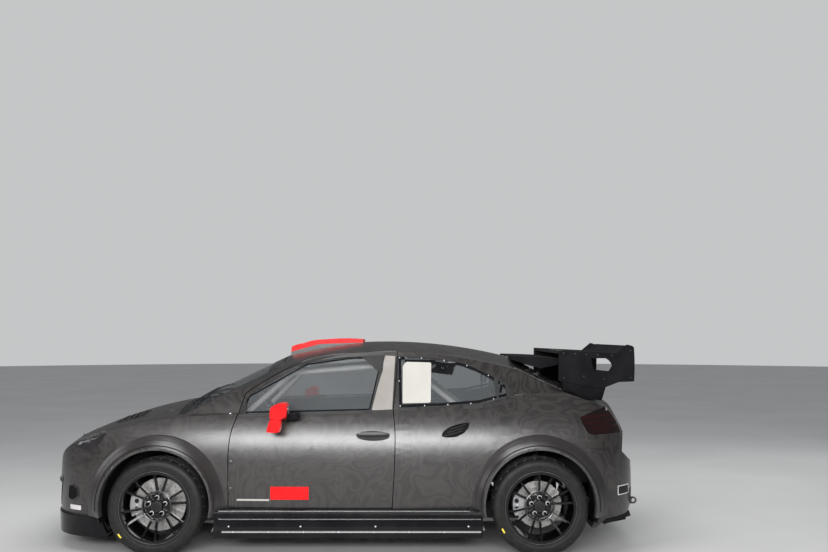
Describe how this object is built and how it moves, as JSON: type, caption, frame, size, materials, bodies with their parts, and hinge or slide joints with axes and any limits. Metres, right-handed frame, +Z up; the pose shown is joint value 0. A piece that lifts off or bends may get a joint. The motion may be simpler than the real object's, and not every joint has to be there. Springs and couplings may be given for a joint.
{
  "type": "rally car",
  "caption": "Three-door rally hatchback with flared arches, a large rear wing, roof scoop, roll cage, bucket seats, steered front wheels, opening doors, bonnet and tailgate.",
  "frame": {"origin": "on the ground, in the middle of the overall length and width", "axes": "nose towards -X, the car's left side towards -Y, +Z up"},
  "size_m": [4.204, 2.02, 1.4539],
  "materials": {
    "body_wrap": "matte taupe grey wrap",
    "red_gloss": "gloss red",
    "gloss_black": "gloss black",
    "satin_black": "satin black",
    "lamp_lens": "smoked lens",
    "window_glass": "tinted",
    "rim_black": "satin black with a bright lower lip",
    "tyre_rubber": "matte",
    "upright_metal": "bare cast",
    "subframe_steel": "satin black paint",
    "engine_alloy": "rough cast",
    "floor_paint": "satin grey paint",
    "cage_white": "gloss white",
    "seat_cloth": "dark cloth",
    "exhaust_steel": "brushed"
  },
  "bodies": {
    "shell": {"front_bumper": "body_wrap", "grille": "satin_black", "fender_left": "body_wrap", "fender_right": "body_wrap", "headlamps": "lamp_lens", "quarter_glass": "window_glass", "windscreen": "window_glass", "roof_panel": "body_wrap", "rear_bumper": "body_wrap", "tail_lamps": "lamp_lens", "side_frame_left": "body_wrap", "side_frame_right": "body_wrap", "floor_pan": "floor_paint", "front_subframe": "subframe_steel", "rear_subframe": "subframe_steel", "engine": "engine_alloy", "splitter": "gloss_black", "side_skirts": "gloss_black", "diffuser": "gloss_black", "roof_scoop": "red_gloss", "bulkhead": "floor_paint", "wheel_housings": "satin_black", "dashboard": "satin_black", "seats": "seat_cloth", "roll_cage": "cage_white", "exhaust": "exhaust_steel"},
    "bonnet_lid": {"bonnet": "body_wrap"},
    "left_door": {"door_left": "body_wrap", "door_glass_left": "window_glass", "mirror_left": "red_gloss"},
    "right_door": {"door_right": "body_wrap", "door_glass_right": "window_glass", "mirror_right": "red_gloss"},
    "hatch": {"tailgate": "body_wrap", "rear_screen": "window_glass", "rear_wing": "gloss_black"},
    "left_knuckle": {"knuckle_left": "upright_metal"},
    "right_knuckle": {"knuckle_right": "upright_metal"},
    "front_left_wheel": {"tyre_front_left": "tyre_rubber", "wheel_front_left": "rim_black"},
    "front_right_wheel": {"tyre_front_right": "tyre_rubber", "wheel_front_right": "rim_black"},
    "rear_left_wheel": {"tyre_rear_left": "tyre_rubber", "wheel_rear_left": "rim_black"},
    "rear_right_wheel": {"tyre_rear_right": "tyre_rubber", "wheel_rear_right": "rim_black"},
    "hand_wheel": {"steering_wheel": "satin_black"}
  },
  "joints": [
    {"name": "bonnet_hinge", "type": "hinge", "parent": "shell", "child": "bonnet_lid", "pos_m": [-1.171, 0, 0.982], "axis": [0, 1, 0], "range_deg": [0, 50]},
    {"name": "tailgate_hinge", "type": "hinge", "parent": "shell", "child": "hatch", "pos_m": [1.222, 0, 1.314], "axis": [0, -1, 0], "range_deg": [0, 60]},
    {"name": "door_left_hinge", "type": "hinge", "parent": "shell", "child": "left_door", "pos_m": [-0.7465, -0.846, 0], "axis": [0, 0, -1], "range_deg": [0, 65]},
    {"name": "door_right_hinge", "type": "hinge", "parent": "shell", "child": "right_door", "pos_m": [-0.7465, 0.846, 0], "axis": [0, 0, 1], "range_deg": [0, 65]},
    {"name": "steer_left", "type": "hinge", "parent": "shell", "child": "left_knuckle", "pos_m": [-1.2315, -0.7, 0.195], "axis": [0, 0.1496, 0.9887], "range_deg": [-30, 30]},
    {"name": "steer_right", "type": "hinge", "parent": "shell", "child": "right_knuckle", "pos_m": [-1.2315, 0.7, 0.195], "axis": [0, -0.1496, 0.9887], "range_deg": [-30, 30]},
    {"name": "spin_front_left", "type": "hinge", "parent": "left_knuckle", "child": "front_left_wheel", "pos_m": [-1.2315, -0.785, 0.325], "axis": [0, -1, 0], "continuous": true},
    {"name": "spin_front_right", "type": "hinge", "parent": "right_knuckle", "child": "front_right_wheel", "pos_m": [-1.2315, 0.785, 0.325], "axis": [0, -1, 0], "continuous": true},
    {"name": "spin_rear_left", "type": "hinge", "parent": "shell", "child": "rear_left_wheel", "pos_m": [1.3565, -0.785, 0.325], "axis": [0, -1, 0], "continuous": true},
    {"name": "spin_rear_right", "type": "hinge", "parent": "shell", "child": "rear_right_wheel", "pos_m": [1.3565, 0.785, 0.325], "axis": [0, -1, 0], "continuous": true},
    {"name": "steering_wheel_turn", "type": "hinge", "parent": "shell", "child": "hand_wheel", "pos_m": [-0.5315, -0.36, 0.9], "axis": [0.8805, 0, 0.4741], "range_deg": [-360, 360]}
  ],
  "couplings": [
    {"joint": "steer_right", "follows": "steer_left", "ratio": 1},
    {"joint": "steering_wheel_turn", "follows": "steer_left", "ratio": 12}
  ]
}
